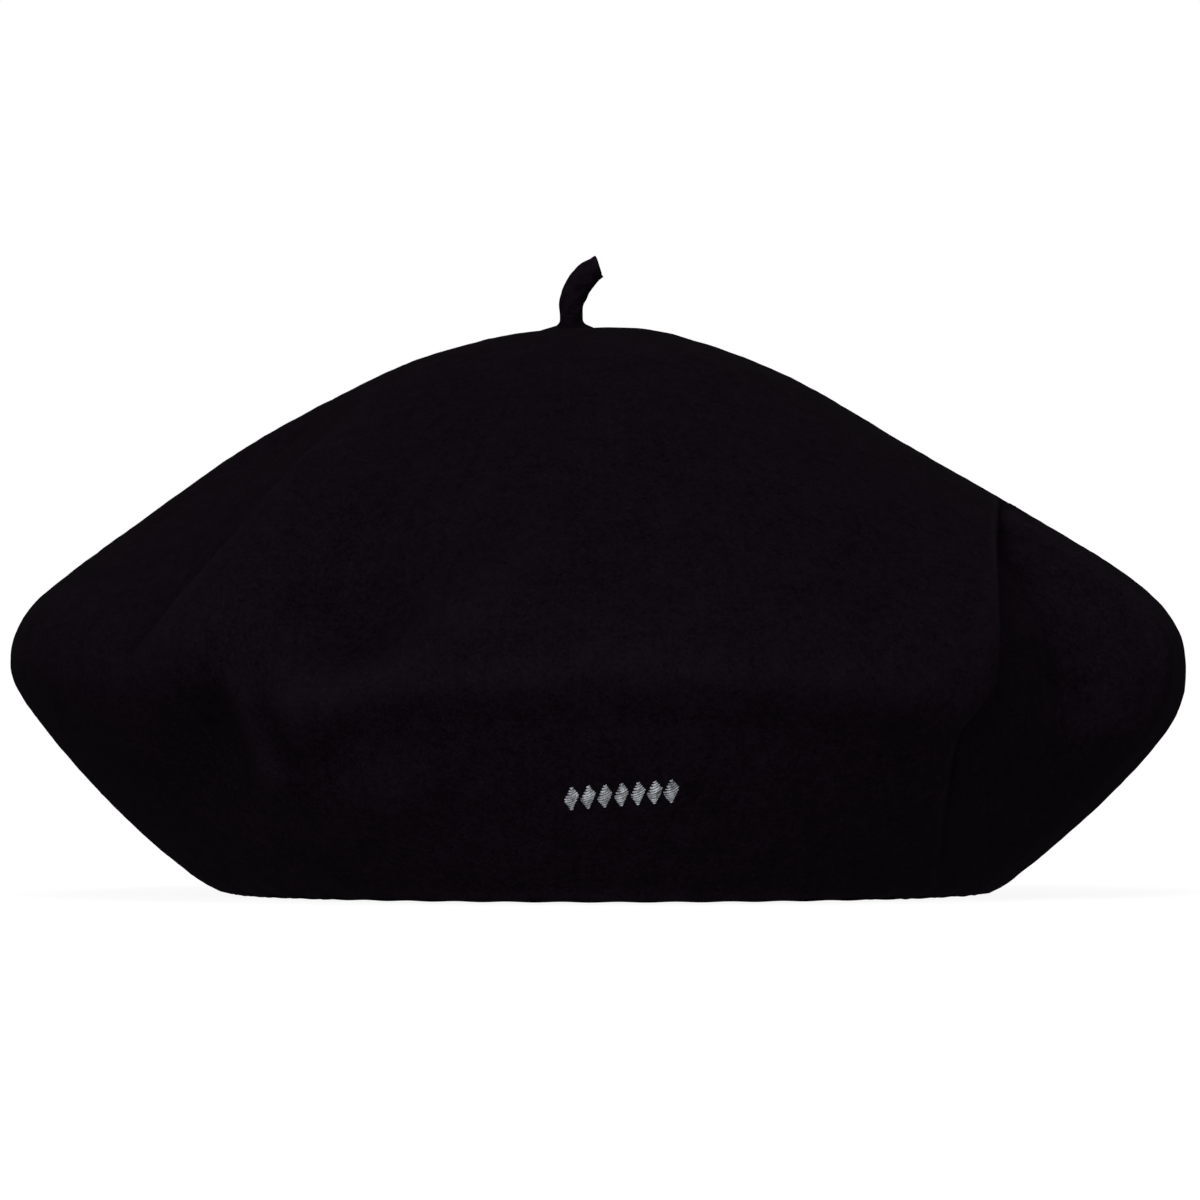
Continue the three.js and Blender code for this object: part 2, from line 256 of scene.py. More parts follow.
class Nodes:
    """A new material's node tree, with short calls for the nodes used here."""

    def __init__(self, slot):
        LOOKS[slot] = bpy.data.materials.new(slot)
        LOOKS[slot].use_nodes = True
        self.tree = LOOKS[slot].node_tree
        self.shader = self.tree.nodes["Principled BSDF"]
        self.place = self.tree.nodes.new("ShaderNodeTexCoord").outputs["Object"]

    def put(self, socket, value):
        """Links an output to a socket, or sets the socket to a value."""
        if isinstance(value, bpy.types.NodeSocket):
            self.tree.links.new(value, socket)
        else:
            socket.default_value = value

    def set(self, **values):
        """Sets the shader's sockets, named with underscores for spaces."""
        for key, value in values.items():
            self.put(self.shader.inputs[key.replace("_", " ")], value)

    def node(self, kind, sockets, **settings):
        """A new node. sockets gives its inputs' values, by name or number."""
        node = self.tree.nodes.new(kind)
        for key, value in settings.items():
            setattr(node, key, value)
        for key, value in sockets.items():
            self.put(node.inputs[key], value)
        return node

    def math(self, operation, *values):
        sockets = dict(enumerate(values))
        return self.node("ShaderNodeMath", sockets, operation=operation).outputs[0]

    def total(self, *layers):
        """The sum of some values. Each layer is (value, weight)."""
        weighted = [self.math("MULTIPLY", value, weight) for value, weight in layers]
        whole = weighted[0]
        for value in weighted[1:]:
            whole = self.math("ADD", whole, value)
        return whole

    def split_place(self):
        return self.node("ShaderNodeSeparateXYZ", {0: self.place}).outputs

    def stretched(self, scale, turn=(0, 0, 0)):
        """The place turned and scaled, for grain that is longer one way."""
        sockets = {"Vector": self.place, "Rotation": turn, "Scale": scale}
        return self.node("ShaderNodeMapping", sockets).outputs[0]

    def noise(self, scale, detail=3.0, roughness=0.6, vector=None, distortion=0.0):
        sockets = {"Vector": vector or self.place, "Scale": scale, "Detail": detail}
        sockets.update(Roughness=roughness, Distortion=distortion)
        return self.node("ShaderNodeTexNoise", sockets).outputs["Fac"]

    def cells(self, scale, feature="F1"):
        sockets = {"Vector": self.place, "Scale": scale}
        return self.node("ShaderNodeTexVoronoi", sockets, feature=feature).outputs["Distance"]

    def colour(self, value, *stops):
        """Colours the shader by a value, between two stops of (value, colour)."""
        node = self.node("ShaderNodeValToRGB", {"Fac": value})
        for element, (place, colour) in zip(node.color_ramp.elements, stops):
            element.position = place
            element.color = (*colour, 1)
        self.set(Base_Color=node.outputs["Color"])

    def spread(self, value, low, high, to_low=0.0, to_high=1.0):
        sockets = dict(enumerate((value, low, high, to_low, to_high)))
        return self.node("ShaderNodeMapRange", sockets).outputs["Result"]

    def bumps(self, *layers):
        """Stacks bumps. Each layer is (height, strength, distance in metres)."""
        normal = None
        for height, strength, distance in layers:
            sockets = {"Height": height, "Strength": strength, "Distance": distance}
            if normal:
                sockets["Normal"] = normal
            normal = self.node("ShaderNodeBump", sockets).outputs["Normal"]
        self.set(Normal=normal)

    def polar(self, turns, climb):
        """A vector that runs round the hat and up it, for grain that follows the knitting."""
        x, y, z = self.split_place()
        angle = self.math("ARCTAN2", y, x)
        squares = self.math("ADD", self.math("POWER", x, 2.0), self.math("POWER", y, 2.0))
        reach = self.math("SQRT", squares)
        right = self.math("MULTIPLY", self.math("SINE", angle), turns)
        back = self.math("MULTIPLY", self.math("COSINE", angle), turns)
        up = self.math("MULTIPLY", self.math("SUBTRACT", reach, z), climb)
        return self.node("ShaderNodeCombineXYZ", {0: right, 1: back, 2: up}).outputs[0]


def felt_material():
    """Fulled wool: near-black with a trace of magenta, matted fibres, a speckled nap, and painted light
    and shade on its folds.
    """
    n = Nodes("felt")
    wales = n.noise(1.0, 2.0, 0.55, vector=n.polar(75.0, 14.0))
    hairs = n.noise(3600, 3.0, 0.7, distortion=1.2)
    fibres = n.noise(1500, 4.0, 0.68, distortion=0.8)
    nap = n.noise(520, 3.0, 0.6)
    mottle = n.noise(110, 4.0, 0.62)
    # Painted highlight and painted shade: the felt is coloured lighter along the crests of the folds
    # and darker in the hollows, by the surface's curvature.
    crest = n.spread(n.node("ShaderNodeNewGeometry", {}).outputs["Pointiness"], 0.46, 0.54, -0.5, 0.5)
    tone = n.total((fibres, 0.58), (nap, 0.22), (mottle, 0.14), (wales, 0.06), (crest, 0.28))
    dark = (0.0018, 0.0010, 0.0020)
    light = (0.0085, 0.0058, 0.0091)
    n.colour(tone, (0.36, dark), (0.66, light))
    n.set(Roughness=n.spread(nap, 0.3, 0.7, 0.88, 1.0), Specular_IOR_Level=0.01)
    n.set(Sheen_Weight=0.0015, Sheen_Roughness=0.5, Sheen_Tint=(0.95, 0.84, 1.0, 1))
    n.bumps((wales, 0.08, 0.0005), (nap, 0.28, 0.0006), (fibres, 0.55, 0.0003), (hairs, 0.4, 0.0001))


def thread_material(name, dark, light, roughness, turns=1400):
    """Spun thread: fine slanting plies and a little colour change."""
    n = Nodes(name)
    plies = n.noise(turns, 3.0, 0.6, vector=n.stretched((1.0, 1.0, 0.35), (0.4, 0.7, 0.2)))
    fleck = n.noise(380, 2.0, 0.5)
    tone = n.total((plies, 0.6), (fleck, 0.4))
    n.colour(tone, (0.35, dark), (0.68, light))
    n.set(Roughness=n.spread(fleck, 0.3, 0.7, roughness - 0.08, roughness + 0.1))
    n.set(Sheen_Weight=0.1, Sheen_Roughness=0.4)
    n.bumps((plies, 0.5, 0.00012))


def satin_material():
    """Lining satin: long floats with a soft gloss, and faint slubs."""
    n = Nodes("satin")
    grain = n.stretched((1.0, 0.12, 1.0))
    floats = n.noise(2600, 2.0, 0.6, vector=grain)
    slubs = n.noise(260, 3.0, 0.6, vector=grain)
    tone = n.total((floats, 0.5), (slubs, 0.5))
    n.colour(tone, (0.35, (0.009, 0.008, 0.011)), (0.65, (0.022, 0.02, 0.026)))
    n.set(Roughness=n.spread(tone, 0.35, 0.65, 0.26, 0.4))
    n.set(Specular_IOR_Level=0.6, Anisotropic=0.6)
    n.bumps((floats, 0.35, 0.00008), (slubs, 0.2, 0.0002))


def leather_material():
    """Smooth hat leather: pebble grain, creases and slightly shiny high spots."""
    n = Nodes("leather")
    pebble = n.cells(900)
    crease = n.cells(380, "DISTANCE_TO_EDGE")
    cloud = n.noise(70, 4.0, 0.6)
    fine = n.noise(2200, 3.0, 0.6)
    n.colour(cloud, (0.3, (0.018, 0.014, 0.013)), (0.7, (0.036, 0.028, 0.025)))
    n.set(Roughness=n.spread(pebble, 0.1, 0.8, 0.38, 0.6))
    n.set(Specular_IOR_Level=0.45)
    grooves = n.spread(crease, 0.0, 0.12)
    n.bumps((grooves, 0.35, 0.0002), (pebble, 0.4, 0.00016), (fine, 0.2, 0.00006))


def woven_material(name, dark, light, across, along, roughness, gloss=0.3):
    """Woven tape, ribbon or label cloth. across and along are threads per metre."""
    n = Nodes(name)
    x, y, z = n.split_place()
    warp = n.math("SINE", n.math("MULTIPLY", n.math("ADD", x, y), across * 2 * math.pi))
    weft = n.math("SINE", n.math("MULTIPLY", z, along * 2 * math.pi))
    weave = n.math("MULTIPLY", n.math("ADD", warp, weft), 0.5)
    fray = n.noise(900, 3.0, 0.6)
    tone = n.total((n.spread(weave, -1.0, 1.0), 0.5), (fray, 0.5))
    n.colour(tone, (0.3, dark), (0.75, light))
    n.set(Roughness=n.spread(fray, 0.3, 0.7, roughness - 0.08, roughness + 0.08))
    n.set(Specular_IOR_Level=gloss, Sheen_Weight=0.08)
    n.bumps((weave, 0.5, 0.00012), (fray, 0.25, 0.00008))


def vinyl_material():
    """Clear flexible sheet with faint ripples and scuffs."""
    n = Nodes("clear_vinyl")
    ripple = n.noise(45, 2.0, 0.5)
    scuff = n.noise(700, 4.0, 0.7)
    n.colour(scuff, (0.4, (0.82, 0.84, 0.86)), (0.7, (0.95, 0.96, 0.97)))
    n.set(Roughness=n.spread(scuff, 0.45, 0.75, 0.06, 0.28))
    n.set(IOR=1.5, Alpha=0.3)
    n.bumps((ripple, 0.4, 0.0012), (scuff, 0.08, 0.00005))


felt_material()
thread_material("sewing_thread", (0.012, 0.011, 0.014), (0.035, 0.032, 0.038), 0.6)
thread_material("embroidery_thread", (0.05, 0.056, 0.066), (0.74, 0.77, 0.83), 0.36, 1300)
satin_material()
leather_material()
woven_material("twill", (0.012, 0.012, 0.013), (0.035, 0.034, 0.037), 1500, 1500, 0.9)
woven_material("grosgrain", (0.008, 0.008, 0.01), (0.03, 0.029, 0.033), 900, 120, 0.5, 0.5)
woven_material("label_cloth", (0.5, 0.48, 0.44), (0.76, 0.74, 0.69), 1800, 1300, 0.6)
woven_material("backing_fleece", (0.5, 0.5, 0.48), (0.7, 0.7, 0.68), 700, 700, 0.95)
vinyl_material()


# ---- The hat's surface ----

# The ovals that the felt passes through, from the stem over the rim to the head opening, as in
# the CAD: left reach and height, right reach and height, front-to-back reach and height.
RINGS = np.array([
    [-0.045, 1.0, -0.045, 1.0, 0.0, 1.0],
    [-0.19, 0.982, 0.106, 0.994, 0.145, 0.992],
    [-0.364, 0.929, 0.318, 0.918, 0.348, 0.941],
    [-0.576, 0.807, 0.53, 0.792, 0.565, 0.83],
    [-0.788, 0.652, 0.742, 0.666, 0.783, 0.673],
    [-0.917, 0.554, 0.902, 0.563, 0.928, 0.532],
    [-0.977, 0.492, 0.977, 0.487, 0.982, 0.457],
    [-1.0, 0.418, 1.0, 0.407, 1.0, 0.379],
    [-0.98, 0.351, 0.981, 0.312, 0.978, 0.296],
    [-0.894, 0.236, 0.894, 0.201, 0.913, 0.202],
    [-0.788, 0.12, 0.788, 0.098, 0.83, 0.1],
    [-0.689, 0.038, 0.705, 0.031, 0.764, 0.03],
    [-0.62, 0.01, 0.65, 0.01, 0.738, 0.01],
    [-0.62, 0.0, 0.65, 0.0, 0.738, 0.0],
])
LAST_RING = len(RINGS) - 1
RIM_RING = 7


def base_points(angle, ring):
    """The felt's outer surface with no folds. angle and ring are arrays of one shape."""
    lx, lz, rx, rz, by, bz = (curve_through(RINGS[:, k], ring) for k in range(6))
    c = np.cos(angle)
    s = np.sin(angle)
    side = np.where(c > 0, rz, lz)
    x = (lx + rx) / 2 + (rx - lx) / 2 * c
    z = (side * c * c + bz * s * s) * CROWN_HEIGHT
    return np.stack([x * HALF_WIDTH, by * s * HALF_DEPTH, z], -1)


def base_normals(angle, ring):
    step = 0.01
    low = np.maximum(ring - step, 0.05)
    high = np.maximum(np.minimum(ring + step, LAST_RING), low + step)
    down = base_points(angle, high) - base_points(angle, low)
    level = np.maximum(ring, 0.05)
    around = base_points(angle + step, level) - base_points(angle - step, level)
    normal = np.cross(down, around)
    normal[..., 2] *= 1 - smooth(LAST_RING - 1, LAST_RING - 0.6, ring)
    return unit(normal)


def distance_to_line(x, z, line):
    """Signed distance to a line of points in the front view, positive to its right, and the
    share of the way along it."""
    best = np.full(x.shape, 1e9)
    along = np.zeros(x.shape)
    sign = np.ones(x.shape)
    count = len(line) - 1
    for i, (a, b) in enumerate(zip(line[:-1], line[1:])):
        d = b - a
        t = np.clip(((x - a[0]) * d[0] + (z - a[1]) * d[1]) / (d @ d), 0, 1)
        gap_x = x - a[0] - t * d[0]
        gap_z = z - a[1] - t * d[1]
        distance = np.hypot(gap_x, gap_z)
        nearer = distance < best
        best = np.where(nearer, distance, best)
        along = np.where(nearer, (i + t) / count, along)
        sign = np.where(nearer, np.sign(d[0] * gap_z - d[1] * gap_x), sign)
    return best * sign, along


def seen_from_front(points):
    """Where points appear to a viewer at the camera's place, on the upright plane y = 0."""
    scale = CAMERA_DISTANCE / (CAMERA_DISTANCE + points[..., 1])
    x = CAMERA_RIGHT + (points[..., 0] - CAMERA_RIGHT) * scale
    z = CAMERA_HEIGHT + (points[..., 2] - CAMERA_HEIGHT) * scale
    return x, z


def front_line(count, *places):
    """A smooth line on the front view through places in millimetres (right, up)."""
    return line_through(np.array(places) * MM, count)


# The fold lines of the front.
LEFT_RIDGE = front_line(
    40, (-40, 119), (-57, 102.4), (-69.3, 89.6), (-89.5, 66.4), (-103, 51), (-110, 42)
)
FRONT_SWELL = front_line(20, (-2, 80), (-22, 69), (-44, 55), (-66, 42))
POCKET_RIDGE = front_line(20, (-86, 55), (-81.6, 42), (-75, 30), (-68, 19))

# The deep fold on the right: heights up its sharp edge, with the edge's place in the front view
# and the fold's depth at each. Its far rim lies at one angle from the right-hand side.
STEP_HEIGHTS = np.array([0, 10, 21, 29, 37, 43, 48, 60, 72, 82, 90]) * MM
STEP_EDGE = np.array([75, 75.8, 76.9, 78.7, 81.4, 86, 89.6, 90.4, 90.4, 90.4, 91]) * MM
STEP_DEPTH = np.array([0.5, 2, 4, 7, 11, 15, 17.5, 17.5, 15, 11, 7]) * MM
FAR_RIM = 0.33


def mound(x, z, middle_x, middle_z, half_x, half_z):
    """A mound 1 high in the front view, its middle and half widths given in millimetres."""
    return bell(x - middle_x * MM, half_x * MM) * bell(z - middle_z * MM, half_z * MM)


def left_folds(x, z):
    """A soft diagonal ridge with a hollow beside it, and under the rim a pocket and its ridge."""
    s, t = distance_to_line(x, z, LEFT_RIDGE)
    ends = smooth(0.08, 0.35, t) * (1 - smooth(0.72, 1.0, t))
    crest = np.where(s > 0, bell(s, 7.0 * MM), bell(s, 2.8 * MM))
    push = ends * (6.0 * crest - 3.4 * bell(s + 12 * MM, 8 * MM) - 1.0 * bell(s - 20 * MM, 8 * MM))
    push -= 8.5 * mound(x, z, -56, 64, 13, 12)
    push -= 7.0 * mound(x, z, -91, 34, 9, 12)
    s, t = distance_to_line(x, z, POCKET_RIDGE)
    push += 2.6 * bell(s, 3.4 * MM) * smooth(0, 0.4, t) * (1 - smooth(0.7, 1.0, t))
    push += 3.4 * mound(x, z, -51, 25, 10, 7)
    return push * MM


# Places along the line where the front turns under, right and up in the front view.
CREASE_X = np.array([-95, -66, -33, 0, 33, 68, 95]) * MM
CREASE_Z = np.array([48, 45, 48, 51.5, 49.5, 46.5, 45]) * MM


def middle_folds(x, z):
    """A faint swell that runs down from the crown, and a rim that turns under along a soft crease."""
    below = z - np.interp(x, CREASE_X, CREASE_Z)
    s, t = distance_to_line(x, z, FRONT_SWELL)
    push = 3.0 * bell(s, 6.5 * MM) * smooth(0, 0.35, t)
    rim = smooth(-90 * MM, -60 * MM, x) * (1 - smooth(72 * MM, 92 * MM, x))
    push += rim * (1.7 * bell(below, 4.6 * MM) - 1.7 * bell(below + 12 * MM, 6 * MM))
    push -= 2.6 * mound(x, z, 62, 72, 9, 12)
    push -= 1.6 * mound(x, z, 16, 97, 12, 9)
    return push * MM


def step_depth(z):
    """The deep fold's depth at a height, blended over 12 mm so that it has no kinks."""
    return sum(np.interp(z + i * MM, STEP_HEIGHTS, STEP_DEPTH) for i in (-6, -3, 0, 3, 6)) / 5


def turn_at(x, ring):
    """The angle from the right-hand side at which a ring passes behind x in the front view."""
    reach = curve_through(RINGS[:, 2], ring) * HALF_WIDTH
    depth = curve_through(RINGS[:, 4], ring) * HALF_DEPTH
    flat = np.clip(x / reach, 0, 1)
    nearness = 1 - depth * np.sqrt(1 - flat**2) / CAMERA_DISTANCE
    return np.arccos(np.clip(x * nearness / reach, 0, 1))


def right_fold(points, angle, ring):
    """A sharp edge, behind it a wall that falls back into a valley, and a rise to a softer edge."""
    z = seen_from_front(points)[1]
    edge = turn_at(np.interp(z, STEP_HEIGHTS, STEP_EDGE), ring)
    turn = np.arccos(np.cos(angle))
    across = (edge - turn) / np.maximum(edge - FAR_RIM, 0.15)
    wall = 0.6 * smooth(0.0, 0.1, across) + 0.4 * smooth(-0.3, 0.85, across)
    valley = wall * (1 - smooth(0.6, 1.06, across))
    lip = bell(across + 0.05, 0.06) * 0.09 + bell(across - 1.02, 0.09) * 0.12
    front = (1 - smooth(-20 * MM, 0, points[..., 1])) * smooth(30 * MM, 60 * MM, points[..., 0])
    return step_depth(z) * (lip - valley) * front


def front_folds(points):
    """How far the folds of the front push the felt out or in. They die away at the outline."""
    x, z = seen_from_front(points)
    y = points[..., 1]
    front = 1 - smooth(-26 * MM, -3 * MM, y)
    flat = 1.2 * mound(x, z, -48, 114, 20, 9) * MM
    return (left_folds(x, z) + middle_folds(x, z)) * front - flat


# Angle, half width (both in radians) and height in millimetres of the folds that hang at the back.
BACK_FOLDS = (
    (0.75, 0.1, 2.6), (1.15, 0.12, -2.8), (1.62, 0.1, 3.0), (2.05, 0.11, -2.6), (2.5, 0.1, 2.6)
)


def soft_folds(points, angle, ring):
    """The gentle unevenness of limp felt, stronger round the back."""
    back = smooth(0.12, 0.7, np.sin(angle))
    outline = 1 - 0.75 * bell(np.sin(angle), 0.16)
    fade = smooth(0.6, 3.0, ring) * (1 - smooth(LAST_RING - 3.5, LAST_RING - 0.8, ring))
    broad = noise_at(points * (1, 1, 1.4), 62 * MM, 1)
    small = noise_at(points, 26 * MM, 2)
    push = broad * (0.5 + 2.2 * back) + small * (0.22 + 0.5 * back)
    for place, width, height in BACK_FOLDS:
        bend = place + 0.14 * np.sin(ring * 0.9 + place * 3)
        push += bell(angle % (2 * math.pi) - bend, width) * height * smooth(2.0, 5.2, ring) * back
    return push * fade * outline * MM


EDGE_RIPPLES = 44


def edge_puckers(angle, ring):
    """A soft roll along the opening's edge, and small ripples where the sewing gathers it."""
    wander = 0.6 * np.sin(3 * angle + 1) + 0.4 * np.sin(7 * angle)
    size = 0.6 + 0.4 * np.sin(5 * angle + 2) * np.sin(2 * angle)
    near = smooth(LAST_RING - 3.2, LAST_RING - 1.2, ring)
    near *= 1 - 0.5 * smooth(LAST_RING - 1, LAST_RING, ring)
    roll = 1.1 * bell(ring - LAST_RING + 1.3, 0.4)
    return (np.sin(EDGE_RIPPLES * angle + wander) * size * near * 0.34 + roll) * MM


def push_of(angle, ring):
    """How far folds, unevenness and the edge's roll push the felt along its normal."""
    points = base_points(angle, ring)
    return front_folds(points) + soft_folds(points, angle, ring) + edge_puckers(angle, ring)


def deep_fold(angle, ring, room):
    """The right fold's level push: the innermost that it has within some room to each side."""
    shifts = np.linspace(-room, room, 9) if room else [0.0]
    pushes = [right_fold(base_points(angle + s, ring), angle + s, ring) for s in shifts]
    return np.minimum.reduce(pushes)


def hat_points(angle, ring, push, depth, room=0.0):
    """Points at a depth inside the folded felt's outer surface. The deep fold moves them level,
    and inner layers leave it some room, in radians, so that they pass its sharp edge inside."""
    places = base_points(angle, ring)
    normals = base_normals(angle, ring)
    level = unit(normals * (1, 1, 0) + (1e-9, 0, 0))
    fold = deep_fold(angle, ring, room)
    return places + normals * (push - depth)[..., None] + level * fold[..., None]


def ring_places(first, last, count):
    """Ring numbers whose rings are evenly spaced over the surface."""
    fine = np.linspace(first, last, 800)
    front = base_points(np.full(800, -math.pi / 2), fine)
    length = length_along(front)
    return np.interp(np.linspace(0, length[-1], count), length, fine)


def angle_places(count):
    """Angles round the hat, closer together at the deep fold on the right of the front."""
    fine = np.linspace(0, 2 * math.pi, 2001)
    density = 1 + 1.6 * bell(fine - (2 * math.pi - 0.75), 0.3)
    total = np.concatenate([[0], np.cumsum((density[1:] + density[:-1]) / 2)])
    return np.interp(np.arange(count) / count * total[-1], total, fine)


# ---- Felt body: outer face, turned edge and inner face ----
FELT_ANGLES = 440
FELT_ROWS = 180
INNER_FACE_STEP = 4
EYELET_RING = 0.28
# How far the inner layers keep from the deep fold's sharp edge, in radians.
FELT_ROOM = 0.05
LINING_ROOM = 0.13


def edge_lift(angle, ring):
    """The edge stands on its lowest points: its ripples lift it a little between them."""
    ripple = 0.09 * (1 + np.sin(EDGE_RIPPLES * angle + 0.6 * np.sin(3 * angle + 1)))
    return smooth(LAST_RING - 1.0, LAST_RING, ring) * (ripple + 0.3) * MM


def matted(points, ring):
    """The small lumps of a fulled surface."""
    fade = smooth(EYELET_RING, EYELET_RING + 0.6, ring)
    return (noise_at(points, 5 * MM, 3) * 0.13 + noise_at(points, 2.2 * MM, 4) * 0.10) * fade * MM


def make_felt():
    angles = angle_places(FELT_ANGLES)
    angle, ring = np.meshgrid(angles, ring_places(EYELET_RING, LAST_RING, FELT_ROWS))
    push = push_of(angle, ring)
    lumps = matted(base_points(angle, ring), ring)
    outer = hat_points(angle, ring, push + lumps, 0)
    outer[..., 2] += edge_lift(angle, ring)
    angle, ring, push = (grid[::INNER_FACE_STEP] for grid in (angle, ring, push))
    inner = hat_points(angle, ring, push, FELT, FELT_ROOM)
    inner[..., 2] += edge_lift(angle, ring)
    inner = inner[::-1]
    # A half round joins the two faces at the edge.
    middle = (outer[-1] + inner[0]) / 2
    turned = []
    for share in (0.2, 0.4, 0.6, 0.8):
        swing = math.pi * share
        row = middle + (outer[-1] - middle) * math.cos(swing)
        row[:, 2] -= 0.3 * MM * math.sin(swing)
        turned.append(row)
    points = np.concatenate([outer, turned, inner])
    faces = grid_faces(len(points), FELT_ANGLES, True, True)
    add_piece("felt_body", "wool_body", "felt", points, faces)


make_felt()


# ---- Stem: a felted cord that flares into the crown and is cut off slanting ----
STEM_SIDES = 28
STEM_ROWS = 40


def stem_line():
    """The middle of the stem, from just inside the crown to its tip."""
    places = [(0, -0.5), (-0.1, 1), (-0.1, 3.6), (0.3, 6.8), (1.6, 9.7), (3.7, 12.1), (5.9, 13.9)]
    line = [(STEM_PIVOT.x + x * MM, 0, CROWN_HEIGHT + z * MM) for x, z in places]
    return line_through(line, STEM_ROWS)


def make_stem():
    line = stem_line()
    base = (STEM_PIVOT.x, 0, CROWN_HEIGHT)
    share = np.linspace(0, 1, STEM_ROWS)
    height = line[:, 2] - CROWN_HEIGHT
    body = np.interp(share, [0, 0.12, 0.2, 0.5, 0.8, 1], [2.45, 2.4, 2.55, 2.95, 2.9, 2.5]) * MM
    flare = 3.2 * MM * np.exp(-np.maximum(height, 0) / (0.6 * MM))
    tangent = unit(np.gradient(line, axis=0))
    depthwise = (0, 1, 0)
    across = np.cross(depthwise, tangent)
    angles = circle_places(STEM_SIDES)
    rows = []
    # A thin skirt that runs out and sinks into the crown.
    for reach, rise in ((8.6, -1.3), (7.2, -0.55), (6.0, -0.16), (5.0, 0.12)):
        skirt = [np.cos(angles) * reach, np.sin(angles) * reach, np.full(STEM_SIDES, rise)]
        rows.append(np.stack(skirt, -1) * MM + base)
    for i in range(3, STEM_ROWS):
        uneven = 1 + 0.035 * np.sin(3 * angles + i * 0.35) + 0.02 * np.sin(5 * angles - i * 0.6)
        ring = across[i] * np.cos(angles)[:, None] + depthwise * np.sin(angles)[:, None] * 0.94
        rows.append(line[i] + ring * ((body[i] + flare[i]) * uneven)[:, None])
    # The tip is cut on a slant, with a slightly rounded rim.
    end = rows[-1]
    slant = (end - line[-1]) @ across[-1]
    end -= tangent[-1] * (0.37 * slant)[:, None]
    centre = end.mean(0)
    for shrink, out in ((0.9, 0.28), (0.6, 0.42), (0.25, 0.3)):
        rows.append(centre + (end - centre) * shrink + tangent[-1] * out * MM)
    points = np.concatenate([np.array(rows).reshape(-1, 3), [centre + tangent[-1] * 0.25 * MM]])
    faces = grid_faces(len(rows), STEM_SIDES, closed_columns=True)
    tip = len(rows) * STEM_SIDES
    last = tip - STEM_SIDES
    faces += [(last + i, tip, last + (i + 1) % STEM_SIDES) for i in range(STEM_SIDES)]
    faces.append(tuple(range(STEM_SIDES)))
    stem = new_object("stem_felt", points, faces, "felt")
    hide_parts("stem")
    reach = Vector((0, 0, 4 * MM))
    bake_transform(stem)


make_stem()

# ---- Lining ----
SEAM_RING = 6.5
SIDE_RINGS = (SEAM_RING + 0.15, 11)
LINING_ANGLES = 360


def lining_depth(ring):
    share = np.maximum(0, 1 - (ring / 4.5) ** 2)
    return FELT + LINING_GAP + LINING_SAG * share**2


def lining_slack(angle, ring, places):
    """How far slack satin hangs away from the felt: soft waves, and pleats gathered at its seams."""
    pleats = 0.5 + 0.5 * np.sin(58 * angle + 2.2 * np.sin(4 * angle) + 1.5 * np.sin(9 * angle))
    near_seam = bell(ring - SEAM_RING, 0.55)
    near_band = smooth(8.5, SIDE_RINGS[1], ring)
    waves = 0.5 + 0.5 * noise_at(places, 34 * MM, 11)
    ripples = 0.5 + 0.5 * noise_at(places * (1, 1, 0.5), 11 * MM, 12)
    calm = smooth(1.8, 3.8, ring)
    return (pleats * (0.9 * near_seam + 0.8 * near_band) + (2.2 * waves + 0.6 * ripples) * calm) * MM


def lining_points(angle, ring, extra):
    """Points that lie extra further in than the outer face of the lining."""
    places = base_points(angle, ring)
    push = front_folds(places) + soft_folds(places, angle, ring)
    depth = lining_depth(ring) + lining_slack(angle, ring, places) + extra
    return hat_points(angle, ring, push, depth, LINING_ROOM)


def make_lining(node, first, last, seam, rows):
    """A ring of satin between two ring numbers. Its hem along the seam is turned in."""
    angle, ring = np.meshgrid(angle_places(LINING_ANGLES), ring_places(first, last, rows))
    thickness = LINING * (1 + 0.9 * bell(ring - seam, 0.09))
    middle = lining_points(angle, ring, LINING / 2)
    return add_sheet(node + "_satin", node, "satin", middle, thickness, merge=1e-7)


lining_tip = make_lining("lining_tip", 0.03, SEAM_RING, SEAM_RING, 90)
lining_side = make_lining("lining_side", *SIDE_RINGS, SIDE_RINGS[0], 50)


# ---- Clear lozenge sewn under the middle of the tip ----
def oval_at(ring):
    """The middle, half width and half depth of the oval at a ring number, in metres."""
    left, right, back = (curve_through(RINGS[:, k], ring) for k in (0, 2, 4))
    return (left + right) / 2 * HALF_WIDTH, (right - left) / 2 * HALF_WIDTH, back * HALF_DEPTH


def last_where(wanted, low, high, shape):
    """For each place, the ring where wanted turns from true to false."""
    low = np.full(shape, float(low))
    high = np.full(shape, float(high))
    for _ in range(40):
        middle = (low + high) / 2
        keep = wanted(middle)
        low = np.where(keep, middle, low)
        high = np.where(keep, high, middle)
    return low


def crown_place(x, y):
    """The angle and ring number of the crown's surface over places in plan."""
    def is_outside(ring):
        centre, a, b = oval_at(ring)
        return ((x - centre) / a) ** 2 + (y / b) ** 2 > 1
    ring = last_where(is_outside, 0.001, RIM_RING, x.shape)
    centre, a, b = oval_at(ring)
    return np.arctan2(y / b, (x - centre) / a), ring


SHIELD_MIDDLE, SHIELD_HALF = cad_box("lining_shield")[2:]
SHIELD_ROUNDNESS = 1.18
# Where its welded line lies, from 0 in its middle to 1 at its rim.
SHIELD_WELD = 0.955
SHIELD_STITCHES = 58


def shield_points(share, turn, extra):
    """Points on the lozenge: share is 0 in its middle and 1 at its rim, turn goes round it."""
    corners = abs(np.cos(turn)) ** SHIELD_ROUNDNESS + abs(np.sin(turn)) ** SHIELD_ROUNDNESS
    reach = share * corners ** (-1 / SHIELD_ROUNDNESS)
    x = SHIELD_MIDDLE[0] + reach * np.cos(turn) * SHIELD_HALF[0]
    y = reach * np.sin(turn) * SHIELD_HALF[1]
    bulge = 1.2 * MM * (1 - share**2) + 0.25 * MM
    return lining_points(*crown_place(x, y), LINING + bulge + extra)


